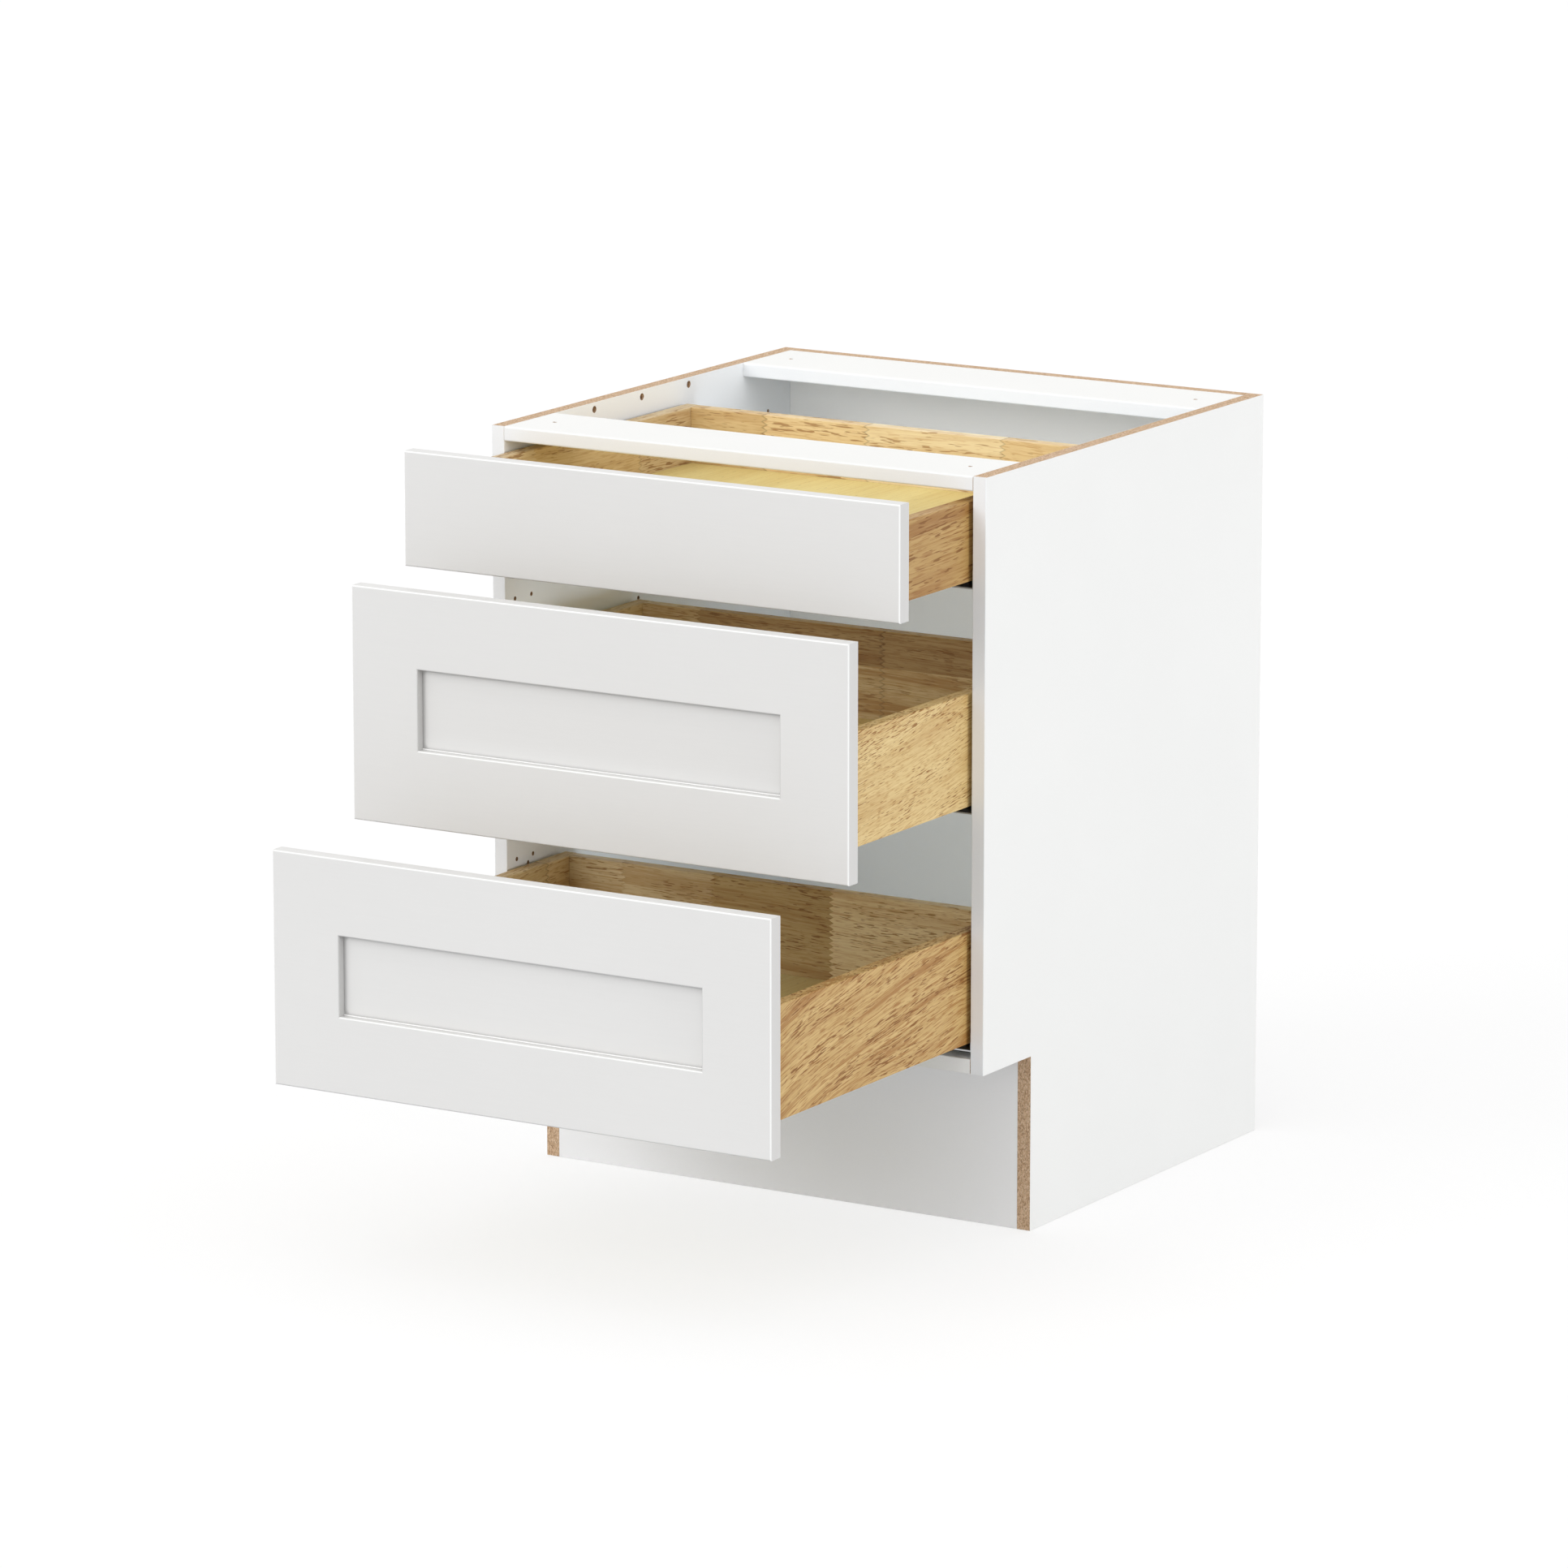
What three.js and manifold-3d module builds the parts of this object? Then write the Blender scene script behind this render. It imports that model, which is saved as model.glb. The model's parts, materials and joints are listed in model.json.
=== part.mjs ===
// Base cabinet with three drawers on undermount runners, standing on its side panels.
// Millimetres, +Z up, +Y towards the wall, +X to the right of someone facing the drawers.
// The drawers stand open at rest, the top one least and the bottom one most.

import * as THREE from 'three';
import { mergeVertices } from 'three/addons/utils/BufferGeometryUtils.js';
import Module from 'manifold-3d';

const wasm = await Module();
wasm.setup();

// Carcass: particleboard faced in white.
const CABINET_WIDTH = 609.6;
const CABINET_HEIGHT = 825.5;
const CABINET_DEPTH = 600;
const PANEL = 15.9;
const TOE_HEIGHT = 190.5;
const TOE_DEPTH = 100;
const STRETCHER_WIDTH = 100;
const BAND_ROUNDING = 1;
const STRETCHER_ROUNDING = 2;
// Hairline left in every glued or screwed joint.
const SEAM = 0.2;

// Drilling of the side panels and stretchers.
const HOLE_RADIUS = 2.5;
const TOP_ROW_RADIUS = 4;
const HOLE_DEPTH = 12;
const HOLE_SIDES = 12;
const TOP_ROW_START = 178;
const TOP_ROW_PITCH = 96;
const TOP_ROW_COUNT = 3;
const HINGE_PAIR_START = 19.2;
const HINGE_PAIR_PITCH = 32;
const HINGE_PAIR_LIFT = 159.5;
const BOTTOM_HINGE_PAIR_LIFT = 127.5;
const SPARE_HOLE_START = 41.2;
const SPARE_HOLE_PITCH = 224;
const SPARE_HOLE_LIFT = 119.5;
const REAR_HOLE_INSET = 63.3;
const REAR_HOLE_DROP = 62.5;
const WORKTOP_HOLE_INSET = 32;

// Drawer fronts.
const FRONT_THICKNESS = 19;
const FRONT_MARGIN = 2;
const FRONT_SPACING = 4;
const TOP_FRONT_HEIGHT = 123;
const FRONT_ROUNDING = 1.5;
const FRAME_WIDTH = 82;
const RECESS_DEPTH = 9.3;
const CENTRE_PANEL_LAP = 10;
const BUMPER = 1.5;

// How far each drawer stands open at rest.
const TOP_OPENED = 150;
const MIDDLE_OPENED = 250;
const BOTTOM_OPENED = 400;

// Drawer boxes: solid wood boards with a bottom let into grooves.
const BOX_LENGTH = 508;
const BOX_SIDE_GAP = 5;
const BOX_BOARD = 15.9;
const BOX_BOTTOM = 9;
const BOX_BOTTOM_RECESS = 12.7;
const GROOVE_DEPTH = 6;
const BOARD_ROUNDING = 1.5;
const TOP_BOX_HEIGHT = 84;
const LOWER_BOX_HEIGHT = 120;
const TOP_BOX_LIFT = 14;
const LOWER_BOX_LIFT = 29.5;

// Runners: three members of folded sheet on each side of a drawer.
const SHEET = 1.5;
const RUNNING_GAP = 0.6;
const SEAT_GAP = 0.3;
const RUNNER_LENGTH = 500;
const RUNNER_SETBACK = 3;
const MIDDLE_RAIL_LENGTH = 440;
const RAIL_DROP = 8.3;
const FLANGE_RISE = 12;
const CHANNEL_INSET = 2;
const CHANNEL_WIDTH = 30;
const CHANNEL_HEIGHT = 12.3;
const LIP = 3;
const WEB = 3;
const HOOK_WIDTH = 12;
const HOOK_RISE = 10;
const HOOK_PIN_RADIUS = 2.7;
const HOOK_PIN_LENGTH = 7;
const NOTCH_CLEARANCE = 2;

// Locking clips under the front of each drawer bottom, with their release levers.
const CLIP_PLATE = 3;
const CLIP_WIDTH = 28;
const CLIP_LENGTH = 48;
const CLIP_CLEARANCE = 1.4;
const CLIP_ARM_LENGTH = 13;
const CLIP_ARM_DEPTH = 6.9;
const CLIP_ARM_REACH = 24;
const CLIP_SCREW_RADIUS = 2;
const PIVOT_RADIUS = 2;
const PIVOT_LENGTH = 7.5;
const LEVER_RADIUS = 6;
const LEVER_REACH = 36;
const LEVER_THICKNESS = 6;
const FINGER_PAD_RADIUS = 5;
const FINGER_PAD_THICKNESS = 1.5;

// Places worked out from the sizes above.
const innerHalf = CABINET_WIDTH / 2 - PANEL;
const carcassFloor = TOE_HEIGHT + PANEL;
const frontWidth = CABINET_WIDTH - 2 * FRONT_MARGIN;
const frontsHeight = CABINET_HEIGHT - TOE_HEIGHT - 2 * FRONT_MARGIN;
const lowerFrontHeight = (frontsHeight - TOP_FRONT_HEIGHT - 2 * FRONT_SPACING) / 2;
const bottomFrontZ = TOE_HEIGHT + FRONT_MARGIN;
const middleFrontZ = bottomFrontZ + lowerFrontHeight + FRONT_SPACING;
const topFrontZ = middleFrontZ + lowerFrontHeight + FRONT_SPACING;
const boxOuterHalf = innerHalf - BOX_SIDE_GAP;
const boxInnerHalf = boxOuterHalf - BOX_BOARD;
const channelNear = BOX_SIDE_GAP + BOX_BOARD + CHANNEL_INSET;
const channelFar = channelNear + CHANNEL_WIDTH;
const clipArmEnd = BOX_BOARD + SEAT_GAP + CLIP_ARM_LENGTH;
const channelStart = clipArmEnd + CHANNEL_INSET;
const railTop = BOX_BOTTOM_RECESS - SEAT_GAP;
const pivotInset = channelFar + CLIP_CLEARANCE + CLIP_WIDTH / 2;
const pivotY = BOX_BOARD + SEAT_GAP + LEVER_RADIUS + CHANNEL_INSET;

const DRAWERS = [
  {
    name: 'top',
    frontZ: topFrontZ,
    frontHeight: TOP_FRONT_HEIGHT,
    framed: false,
    boxLift: TOP_BOX_LIFT,
    boxHeight: TOP_BOX_HEIGHT,
    opened: TOP_OPENED,
  },
  {
    name: 'middle',
    frontZ: middleFrontZ,
    frontHeight: lowerFrontHeight,
    framed: true,
    boxLift: LOWER_BOX_LIFT,
    boxHeight: LOWER_BOX_HEIGHT,
    opened: MIDDLE_OPENED,
  },
  {
    name: 'bottom',
    frontZ: bottomFrontZ,
    frontHeight: lowerFrontHeight,
    framed: true,
    boxLift: LOWER_BOX_LIFT,
    boxHeight: LOWER_BOX_HEIGHT,
    opened: BOTTOM_OPENED,
  },
];
const SIDES = [
  { name: 'left', sign: -1 },
  { name: 'right', sign: 1 },
];

const FINISHES = {
  whiteBoard: { color: 0xf1f1ee, roughness: 0.55, metalness: 0 },
  frontLacquer: { color: 0xe9e9e6, roughness: 0.42, metalness: 0 },
  boxWood: { color: 0xd9a96a, roughness: 0.6, metalness: 0 },
  boxBottomWood: { color: 0xe7c27f, roughness: 0.6, metalness: 0 },
  runnerSteel: { color: 0x9a9da0, roughness: 0.38, metalness: 0.9 },
  clipPlastic: { color: 0x8d9094, roughness: 0.5, metalness: 0 },
  leverPlastic: { color: 0xd8792b, roughness: 0.5, metalness: 0 },
};

// Gives a mesh with a material of its own.
function piece(name, finish, geometry) {
  const mesh = new THREE.Mesh(geometry, new THREE.MeshStandardMaterial(FINISHES[finish]));
  mesh.name = name;
  return mesh;
}

// Box between two corners, in the frame it is added to.
function blockGeometry(low, high) {
  const geometry = new THREE.BoxGeometry(high[0] - low[0], high[1] - low[1], high[2] - low[2]);
  geometry.translate((low[0] + high[0]) / 2, (low[1] + high[1]) / 2, (low[2] + high[2]) / 2);
  return geometry;
}

// Outline through [a, b] points.
function outline(points) {
  const shape = new THREE.Shape();
  shape.moveTo(points[0][0], points[0][1]);
  for (const [a, b] of points.slice(1)) {
    shape.lineTo(a, b);
  }
  shape.closePath();
  return shape;
}

// Rectangle with the corners, anticlockwise from the lowest, rounded by the given radii.
function roundedRectangle(low, high, radii) {
  const corners = [
    [low[0], low[1], 1, 1],
    [high[0], low[1], -1, 1],
    [high[0], high[1], -1, -1],
    [low[0], high[1], 1, -1],
  ];
  const shape = new THREE.Shape();
  corners.forEach(([a, b, inwardA, inwardB], index) => {
    const radius = radii[index];
    const start = Math.PI + (index * Math.PI) / 2;
    if (radius > 0) {
      shape.absarc(a + inwardA * radius, b + inwardB * radius, radius, start, start + Math.PI / 2, false);
    } else if (index === 0) {
      shape.moveTo(a, b);
    } else {
      shape.lineTo(a, b);
    }
  });
  shape.closePath();
  return shape;
}

// Profile in X and Z, drawn out along +Y from start.
function alongY(shape, start, length) {
  const geometry = new THREE.ExtrudeGeometry(shape, { depth: length, bevelEnabled: false, curveSegments: 3 });
  geometry.rotateX(Math.PI / 2);
  geometry.translate(0, start + length, 0);
  return geometry;
}

// Profile in Y and Z, drawn out along +X from start.
function alongX(shape, start, length) {
  const geometry = new THREE.ExtrudeGeometry(shape, { depth: length, bevelEnabled: false, curveSegments: 3 });
  geometry.rotateY(Math.PI / 2);
  geometry.rotateX(Math.PI / 2);
  geometry.translate(start, 0, 0);
  return geometry;
}

// Plan in X and Y, drawn up along +Z from start.
function alongZ(shape, start, length) {
  const options = { depth: length, bevelEnabled: false, curveSegments: HOLE_SIDES };
  const geometry = new THREE.ExtrudeGeometry(shape, options);
  geometry.translate(0, 0, start);
  return geometry;
}

function toSolid(geometry) {
  const plain = geometry.clone();
  plain.deleteAttribute('normal');
  plain.deleteAttribute('uv');
  const merged = mergeVertices(plain);
  return new wasm.Manifold(new wasm.Mesh({
    numProp: 3,
    vertProperties: Float32Array.from(merged.attributes.position.array),
    triVerts: Uint32Array.from(merged.index.array),
  }));
}

function toGeometry(solid) {
  const mesh = solid.getMesh();
  const geometry = new THREE.BufferGeometry();
  geometry.setAttribute('position', new THREE.BufferAttribute(mesh.vertProperties, 3));
  geometry.setIndex(new THREE.BufferAttribute(mesh.triVerts, 1));
  geometry.computeVertexNormals();
  return geometry;
}

function cut(geometry, tools) {
  let solid = toSolid(geometry);
  for (const tool of tools) {
    solid = solid.subtract(toSolid(tool));
  }
  return toGeometry(solid);
}

function join(geometries) {
  let solid = toSolid(geometries[0]);
  for (const geometry of geometries.slice(1)) {
    solid = solid.add(toSolid(geometry));
  }
  return toGeometry(solid);
}

// Round bar or drill between two points along one axis: 'x', 'y' or 'z'.
function rod(axis, centre, radius, length, sides = HOLE_SIDES) {
  const geometry = new THREE.CylinderGeometry(radius, radius, length, sides);
  if (axis === 'x') {
    geometry.rotateZ(Math.PI / 2);
  }
  if (axis === 'z') {
    geometry.rotateX(Math.PI / 2);
  }
  geometry.translate(centre[0], centre[1], centre[2]);
  return geometry;
}

// Places and radii [y, z, radius] of the holes in a side panel's inner face.
function sidePanelHoles() {
  const holes = [];
  for (let i = 0; i < TOP_ROW_COUNT; i += 1) {
    holes.push([TOP_ROW_START + i * TOP_ROW_PITCH, CABINET_HEIGHT - PANEL / 2, TOP_ROW_RADIUS]);
  }
  for (const drawer of DRAWERS.filter((entry) => entry.framed)) {
    const boxZ = drawer.frontZ + drawer.boxLift;
    const pairLift = drawer.name === 'bottom' ? BOTTOM_HINGE_PAIR_LIFT : HINGE_PAIR_LIFT;
    for (const step of [0, 1]) {
      holes.push([HINGE_PAIR_START + step * HINGE_PAIR_PITCH, boxZ + pairLift, HOLE_RADIUS]);
      holes.push([SPARE_HOLE_START + step * SPARE_HOLE_PITCH, boxZ + SPARE_HOLE_LIFT, HOLE_RADIUS]);
    }
  }
  holes.push([CABINET_DEPTH - REAR_HOLE_INSET, CABINET_HEIGHT - REAR_HOLE_DROP, HOLE_RADIUS]);
  return holes;
}

// Side panel down to the floor, stepped back at the toe notch, with its banded front edge rounded.
function sidePanel({ name, sign }) {
  const start = sign > 0 ? innerHalf : -innerHalf - PANEL;
  const behindNotch = blockGeometry([start, TOE_DEPTH, 0], [start + PANEL, CABINET_DEPTH, CABINET_HEIGHT]);
  const overNotch = roundedRectangle(
    [start, 0],
    [start + PANEL, TOE_DEPTH + PANEL],
    [BAND_ROUNDING, BAND_ROUNDING, 0, 0],
  );
  const board = join([behindNotch, alongZ(overNotch, TOE_HEIGHT, CABINET_HEIGHT - TOE_HEIGHT)]);
  const drillX = sign * innerHalf;
  const drills = sidePanelHoles().map(([y, z, radius]) => rod('x', [drillX, y, z], radius, 2 * HOLE_DEPTH));
  return piece(`${name}_side_panel`, 'whiteBoard', cut(board, drills));
}

// Flat rail across the top of the carcass, with two holes for the worktop screws.
function stretcher(name, frontY) {
  const half = innerHalf - SEAM;
  const section = roundedRectangle(
    [frontY, CABINET_HEIGHT - PANEL],
    [frontY + STRETCHER_WIDTH - SEAM, CABINET_HEIGHT],
    Array(4).fill(STRETCHER_ROUNDING),
  );
  const holeX = innerHalf - WORKTOP_HOLE_INSET;
  const drills = SIDES.map(({ sign }) => rod(
    'z',
    [sign * holeX, frontY + STRETCHER_WIDTH / 2, CABINET_HEIGHT],
    HOLE_RADIUS,
    3 * PANEL,
  ));
  return piece(name, 'whiteBoard', cut(alongX(section, -half, 2 * half), drills));
}

function carcassBoards() {
  const half = innerHalf - SEAM;
  const backFace = CABINET_DEPTH - PANEL;
  const floorSection = roundedRectangle(
    [0, TOE_HEIGHT],
    [backFace - SEAM, carcassFloor],
    [BAND_ROUNDING, 0, 0, BAND_ROUNDING],
  );
  return [
    ...SIDES.map(sidePanel),
    piece('bottom_panel', 'whiteBoard', alongX(floorSection, -half, 2 * half)),
    piece('back_panel', 'whiteBoard', blockGeometry(
      [-half, backFace, TOE_HEIGHT],
      [half, CABINET_DEPTH, CABINET_HEIGHT],
    )),
    stretcher('front_stretcher', 0),
    stretcher('rear_stretcher', backFace - STRETCHER_WIDTH),
    piece('toe_kick_board', 'whiteBoard', blockGeometry(
      [-half, TOE_DEPTH, 0],
      [half, TOE_DEPTH + PANEL, TOE_HEIGHT - SEAM],
    )),
  ];
}

function rectangle(halfWidth, low, high) {
  return outline([[-halfWidth, low], [halfWidth, low], [halfWidth, high], [-halfWidth, high]]);
}

// Front board with softened edges; its back face lies at y = 0.
function roundedFront(shape) {
  const geometry = new THREE.ExtrudeGeometry(shape, {
    depth: FRONT_THICKNESS - 2 * FRONT_ROUNDING,
    bevelEnabled: true,
    bevelThickness: FRONT_ROUNDING,
    bevelSize: FRONT_ROUNDING,
    bevelOffset: -FRONT_ROUNDING,
    bevelSegments: 3,
  });
  geometry.rotateX(Math.PI / 2);
  geometry.translate(0, -FRONT_ROUNDING, 0);
  return geometry;
}

function slabFront(drawer, low, high) {
  return [piece(`${drawer.name}_drawer_front`, 'frontLacquer', roundedFront(rectangle(frontWidth / 2, low, high)))];
}

// Frame with a window, and a centre panel let into its rebate from behind.
function framedFront(drawer, low, high) {
  const windowHalf = frontWidth / 2 - FRAME_WIDTH;
  const windowLow = low + FRAME_WIDTH;
  const windowHigh = high - FRAME_WIDTH;
  const frame = rectangle(frontWidth / 2, low, high);
  frame.holes.push(rectangle(windowHalf, windowLow, windowHigh));
  const ledgeY = RECESS_DEPTH - FRONT_THICKNESS;
  const lap = CENTRE_PANEL_LAP;
  const rebate = blockGeometry(
    [-windowHalf - lap, ledgeY, windowLow - lap],
    [windowHalf + lap, FRONT_THICKNESS, windowHigh + lap],
  );
  const inset = lap - SEAM;
  const centre = blockGeometry(
    [-windowHalf - inset, ledgeY + SEAM, windowLow - inset],
    [windowHalf + inset, 0, windowHigh + inset],
  );
  return [
    piece(`${drawer.name}_front_frame`, 'frontLacquer', cut(roundedFront(frame), [rebate])),
    piece(`${drawer.name}_front_centre_panel`, 'frontLacquer', centre),
  ];
}

// Board section with a groove for the drawer bottom; inner = -1 puts the groove at its low side.
function grooveSection(low, high, height, inner) {
  const grooveLow = BOX_BOTTOM_RECESS;
  const grooveHigh = grooveLow + BOX_BOTTOM + SEAM;
  const round = BOARD_ROUNDING;
  const shape = new THREE.Shape();
  shape.moveTo(low, 0);
  shape.lineTo(high, 0);
  if (inner > 0) {
    shape.lineTo(high, grooveLow);
    shape.lineTo(high - GROOVE_DEPTH, grooveLow);
    shape.lineTo(high - GROOVE_DEPTH, grooveHigh);
    shape.lineTo(high, grooveHigh);
  }
  shape.lineTo(high, height - round);
  shape.absarc(high - round, height - round, round, 0, Math.PI / 2, false);
  shape.lineTo(low + round, height);
  shape.absarc(low + round, height - round, round, Math.PI / 2, Math.PI, false);
  if (inner < 0) {
    shape.lineTo(low, grooveHigh);
    shape.lineTo(low + GROOVE_DEPTH, grooveHigh);
    shape.lineTo(low + GROOVE_DEPTH, grooveLow);
    shape.lineTo(low, grooveLow);
  }
  shape.closePath();
  return shape;
}

function boxSide(drawer, { name, sign }) {
  const outer = sign * boxOuterHalf;
  const inner = sign * boxInnerHalf;
  const section = grooveSection(Math.min(outer, inner), Math.max(outer, inner), drawer.boxHeight, -sign);
  return piece(`${drawer.name}_box_${name}_side`, 'boxWood', alongY(section, SEAM, BOX_LENGTH - SEAM));
}

function boxFront(drawer) {
  const half = boxInnerHalf - SEAM;
  const section = grooveSection(SEAM, BOX_BOARD, drawer.boxHeight, 1);
  return piece(`${drawer.name}_box_front`, 'boxWood', alongX(section, -half, 2 * half));
}

// Back board, notched over the runners and drilled for their hooks.
function boxBack(drawer) {
  const half = boxInnerHalf - SEAM;
  const section = grooveSection(BOX_LENGTH - BOX_BOARD, BOX_LENGTH, drawer.boxHeight, -1);
  const notchInner = innerHalf - channelFar - NOTCH_CLEARANCE;
  const hookX = innerHalf - (channelNear + channelFar) / 2;
  const tools = [];
  for (const { sign } of SIDES) {
    const edges = [sign * notchInner, sign * (boxInnerHalf + SEAM)];
    tools.push(blockGeometry(
      [Math.min(...edges), BOX_LENGTH - 2 * BOX_BOARD, -BOX_BOTTOM_RECESS],
      [Math.max(...edges), BOX_LENGTH + BOX_BOARD, BOX_BOTTOM_RECESS],
    ));
    tools.push(rod(
      'y',
      [sign * hookX, BOX_LENGTH, BOX_BOTTOM_RECESS + BOX_BOTTOM / 2],
      HOOK_PIN_RADIUS + SEAT_GAP,
      2 * (HOOK_PIN_LENGTH + SEAT_GAP),
    ));
  }
  return piece(`${drawer.name}_box_back`, 'boxWood', cut(alongX(section, -half, 2 * half), tools));
}

function boxBottom(drawer) {
  const reach = GROOVE_DEPTH - SEAM;
  return piece(`${drawer.name}_box_bottom`, 'boxBottomWood', blockGeometry(
    [-boxInnerHalf - reach, BOX_BOARD - reach, BOX_BOTTOM_RECESS + SEAM / 2],
    [boxInnerHalf + reach, BOX_LENGTH - BOX_BOARD + reach, BOX_BOTTOM_RECESS + SEAM / 2 + BOX_BOTTOM],
  ));
}

// Runner sections take u, the distance from the side panel's inner face, and z from the box's lower edge.
function runnerSection(sign, points) {
  return outline(points.map(([u, z]) => [sign * (innerHalf - u), z]));
}

// Fixed member: a flange on the side panel, a base under the box side and a channel beside it.
function cabinetRail(drawer, { name, sign }) {
  const base = -RAIL_DROP;
  const floor = base + SHEET;
  const top = base + CHANNEL_HEIGHT;
  const near = channelNear;
  const far = channelFar;
  const section = runnerSection(sign, [
    [SEAM, base],
    [far, base],
    [far, top],
    [far - SHEET - LIP, top],
    [far - SHEET - LIP, top - SHEET],
    [far - SHEET, top - SHEET],
    [far - SHEET, floor],
    [near + SHEET, floor],
    [near + SHEET, top - SHEET],
    [near + SHEET + LIP, top - SHEET],
    [near + SHEET + LIP, top],
    [near, top],
    [near, floor],
    [SEAM + SHEET, floor],
    [SEAM + SHEET, FLANGE_RISE],
    [SEAM, FLANGE_RISE],
  ]);
  const edges = [sign * (innerHalf - near + SHEET), sign * (innerHalf - far - SHEET)];
  const lowFront = blockGeometry(
    [Math.min(...edges), RUNNER_SETBACK - SHEET, floor],
    [Math.max(...edges), channelStart - BUMPER, top + SHEET],
  );
  const rail = cut(alongY(section, RUNNER_SETBACK, RUNNER_LENGTH), [lowFront]);
  return piece(`${drawer.name}_${name}_cabinet_rail`, 'runnerSteel', rail);
}

// Middle member: two channels back to back, one in the fixed member and one in the drawer's.
function middleRail(drawer, { name, sign }) {
  const low = -RAIL_DROP + SHEET + RUNNING_GAP;
  const lowTop = -RAIL_DROP + CHANNEL_HEIGHT - SHEET - RUNNING_GAP;
  const high = -RAIL_DROP + CHANNEL_HEIGHT + 2 * RUNNING_GAP + SHEET;
  const highTop = railTop - SHEET - RUNNING_GAP;
  const near = channelNear + SHEET + RUNNING_GAP;
  const far = channelFar - SHEET - RUNNING_GAP;
  const middle = (near + far) / 2;
  const section = runnerSection(sign, [
    [near, low],
    [far, low],
    [far, lowTop],
    [far - SHEET, lowTop],
    [far - SHEET, low + SHEET],
    [middle + WEB / 2, low + SHEET],
    [middle + WEB / 2, high],
    [far, high],
    [far, highTop],
    [far - SHEET, highTop],
    [far - SHEET, high + SHEET],
    [near + SHEET, high + SHEET],
    [near + SHEET, highTop],
    [near, highTop],
    [near, high],
    [middle - WEB / 2, high],
    [middle - WEB / 2, low + SHEET],
    [near + SHEET, low + SHEET],
    [near + SHEET, lowTop],
    [near, lowTop],
  ]);
  const rail = alongY(section, channelStart + RUNNING_GAP, MIDDLE_RAIL_LENGTH);
  return piece(`${drawer.name}_${name}_middle_rail`, 'runnerSteel', rail);
}

// Drawer member: a lipped channel under the drawer bottom, hooked into the back board.
function drawerRail(drawer, { name, sign }) {
  const low = -RAIL_DROP + CHANNEL_HEIGHT + RUNNING_GAP;
  const near = channelNear;
  const far = channelFar;
  const section = runnerSection(sign, [
    [near, low],
    [near + SHEET + LIP, low],
    [near + SHEET + LIP, low + SHEET],
    [near + SHEET, low + SHEET],
    [near + SHEET, railTop - SHEET],
    [far - SHEET, railTop - SHEET],
    [far - SHEET, low + SHEET],
    [far - SHEET - LIP, low + SHEET],
    [far - SHEET - LIP, low],
    [far, low],
    [far, railTop],
    [near, railTop],
  ]);
  const hookY = BOX_LENGTH + SEAT_GAP;
  const railEnd = hookY + SHEET;
  const hookX = sign * (innerHalf - (near + far) / 2);
  const tab = blockGeometry(
    [hookX - HOOK_WIDTH / 2, hookY, railTop - SHEET],
    [hookX + HOOK_WIDTH / 2, railEnd, railTop + HOOK_RISE],
  );
  const pinLength = HOOK_PIN_LENGTH + SEAT_GAP + SHEET;
  const pin = rod(
    'y',
    [hookX, railEnd - pinLength / 2, BOX_BOTTOM_RECESS + BOX_BOTTOM / 2],
    HOOK_PIN_RADIUS,
    pinLength,
  );
  const railStart = clipArmEnd + SEAT_GAP;
  const channel = alongY(section, railStart, railEnd - railStart);
  return piece(`${drawer.name}_${name}_drawer_rail`, 'runnerSteel', join([channel, tab, pin]));
}

// Locking clip: a plate screwed under the drawer bottom, an arm before the rail and a pivot.
function lockingClip(drawer, { name, sign }) {
  const near = channelFar + CLIP_CLEARANCE;
  const far = near + CLIP_WIDTH;
  const front = BOX_BOARD + SEAT_GAP;
  const x = (u) => sign * (innerHalf - u);
  const plate = alongZ(outline([
    [x(near - CLIP_ARM_REACH), front],
    [x(far), front],
    [x(far), front + CLIP_LENGTH],
    [x(near), front + CLIP_LENGTH],
    [x(near), front + CLIP_ARM_LENGTH],
    [x(near - CLIP_ARM_REACH), front + CLIP_ARM_LENGTH],
  ]), railTop - CLIP_PLATE, CLIP_PLATE);
  const armEdges = [x(near - CLIP_ARM_REACH), x(near)];
  const arm = blockGeometry(
    [Math.min(...armEdges), front, railTop - CLIP_ARM_DEPTH],
    [Math.max(...armEdges), front + CLIP_ARM_LENGTH, railTop - CLIP_PLATE / 2],
  );
  const pivotTop = railTop - CLIP_PLATE / 2;
  const pivotLow = railTop - CLIP_PLATE - PIVOT_LENGTH;
  const pivot = rod('z', [x(pivotInset), pivotY, (pivotTop + pivotLow) / 2], PIVOT_RADIUS, pivotTop - pivotLow);
  const screws = [near, far].map((edge, index) => {
    const u = index === 0 ? edge + 2 * CLIP_SCREW_RADIUS : edge - 2 * CLIP_SCREW_RADIUS;
    const y = front + CLIP_LENGTH - 2 * CLIP_SCREW_RADIUS;
    return rod('z', [x(u), y, railTop], CLIP_SCREW_RADIUS, 4 * CLIP_PLATE);
  });
  const clip = cut(join([plate, arm, pivot]), screws);
  return piece(`${drawer.name}_${name}_locking_clip`, 'clipPlastic', clip);
}

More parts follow.
